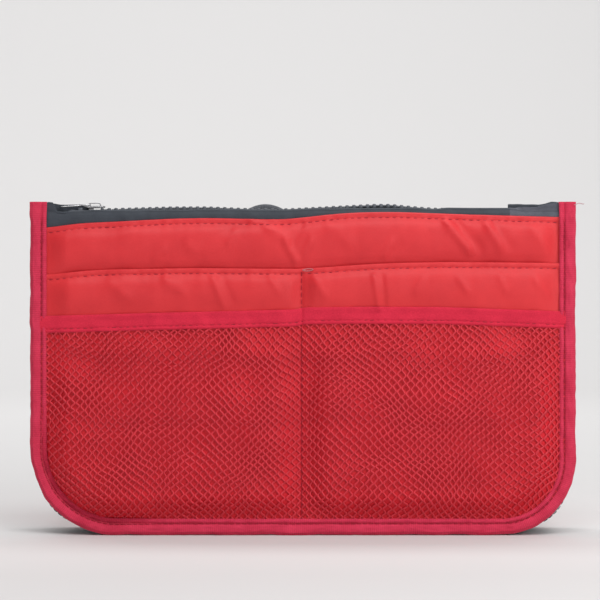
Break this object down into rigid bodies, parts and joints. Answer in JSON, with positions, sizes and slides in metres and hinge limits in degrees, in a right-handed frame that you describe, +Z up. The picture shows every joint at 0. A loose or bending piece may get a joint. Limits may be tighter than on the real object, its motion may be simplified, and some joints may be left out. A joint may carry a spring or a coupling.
{
  "type": "purse organizer insert",
  "caption": "Slim zip-round purse insert with a mesh pocket, a slip pocket and a zipped pocket in front, bound edges, and walls that move apart when the side zip is undone.",
  "frame": {"origin": "middle of the closed organizer, on the surface it stands on", "axes": "+X to the right of the front, +Y from the front to the back, +Z up towards the openings"},
  "size_m": [0.28, 0.038, 0.171],
  "materials": {
    "red_nylon": "thin woven nylon, satin",
    "crimson_tape": "ribbed grosgrain tape",
    "red_mesh": "knitted net",
    "grey_tape": "woven tape, matt",
    "grey_teeth": "moulded plastic, slight sheen",
    "silver_metal": "plated die casting",
    "grey_lining": "thin plain nylon lining",
    "white_foam": "thin foam wadding, inside the wall"
  },
  "bodies": {
    "front_wall": {"front_panel": "red_nylon", "front_card_pocket": "red_nylon", "front_mesh_pocket": "red_mesh", "front_mesh_band": "crimson_tape", "front_binding": "crimson_tape", "front_padding": "white_foam", "front_lining": "grey_lining", "front_inner_pocket": "grey_lining", "front_inner_band": "grey_tape", "top_zip_front_tape": "grey_tape", "top_zip_back_tape": "grey_tape", "top_zip_front_teeth": "grey_teeth", "top_zip_back_teeth": "grey_teeth", "top_zip_end_stop": "grey_teeth", "top_zip_front_stop": "grey_teeth", "top_zip_back_stop": "grey_teeth", "side_zip_front_tape": "grey_tape", "side_zip_front_teeth": "grey_teeth", "side_zip_front_left_stop": "grey_teeth", "side_zip_front_right_stop": "grey_teeth", "gusset": "grey_lining"},
    "back_wall": {"side_zip_back_tape": "grey_tape", "side_zip_back_teeth": "grey_teeth", "side_zip_back_left_stop": "grey_teeth", "side_zip_back_right_stop": "grey_teeth", "back_panel": "red_nylon", "back_high_pocket": "red_nylon", "back_low_pocket": "red_nylon", "back_low_band": "crimson_tape", "back_binding": "crimson_tape", "back_padding": "white_foam", "back_lining": "grey_lining", "back_inner_pocket": "grey_lining", "back_inner_band": "grey_tape", "back_top_binding": "grey_tape"},
    "top_slider": {"top_zip_slider": "silver_metal"},
    "top_pull": {"top_zip_pull": "silver_metal"},
    "side_slider": {"side_zip_slider": "silver_metal"},
    "side_pull": {"side_zip_pull": "silver_metal"},
    "front_handle": {"front_handle": "grey_tape"},
    "back_handle": {"back_handle": "grey_tape"}
  },
  "joints": [
    {"name": "expand", "type": "slide", "parent": "front_wall", "child": "back_wall", "axis": [0, 1, 0], "range_m": [0, 0.05], "deforming": ["gusset"]},
    {"name": "side_zip_slide", "type": "slide", "parent": "front_wall", "child": "side_slider", "axis": [0, 0, -1], "range_m": [0, 0.115]},
    {"name": "side_pull_swing", "type": "hinge", "parent": "side_slider", "child": "side_pull", "pos_m": [0.1387, 0, 0.1513], "axis": [0, -1, 0], "range_deg": [0, 150]},
    {"name": "top_zip_slide", "type": "slide", "parent": "front_wall", "child": "top_slider", "axis": [1, 0, 0], "range_m": [0, 0.205]},
    {"name": "top_pull_swing", "type": "hinge", "parent": "top_slider", "child": "top_pull", "pos_m": [-0.1097, -0.0109, 0.16965], "axis": [0, 1, 0], "range_deg": [0, 150]},
    {"name": "front_handle_lift", "type": "slide", "parent": "front_wall", "child": "front_handle", "axis": [0, 0, 1], "range_m": [0, 0.045], "deforming": ["front_handle"]},
    {"name": "back_handle_lift", "type": "slide", "parent": "back_wall", "child": "back_handle", "axis": [0, 0, 1], "range_m": [0, 0.045], "deforming": ["back_handle"]}
  ],
  "couplings": [
    {"joint": "side_zip_slide", "follows": "expand", "ratio": 2.3}
  ]
}
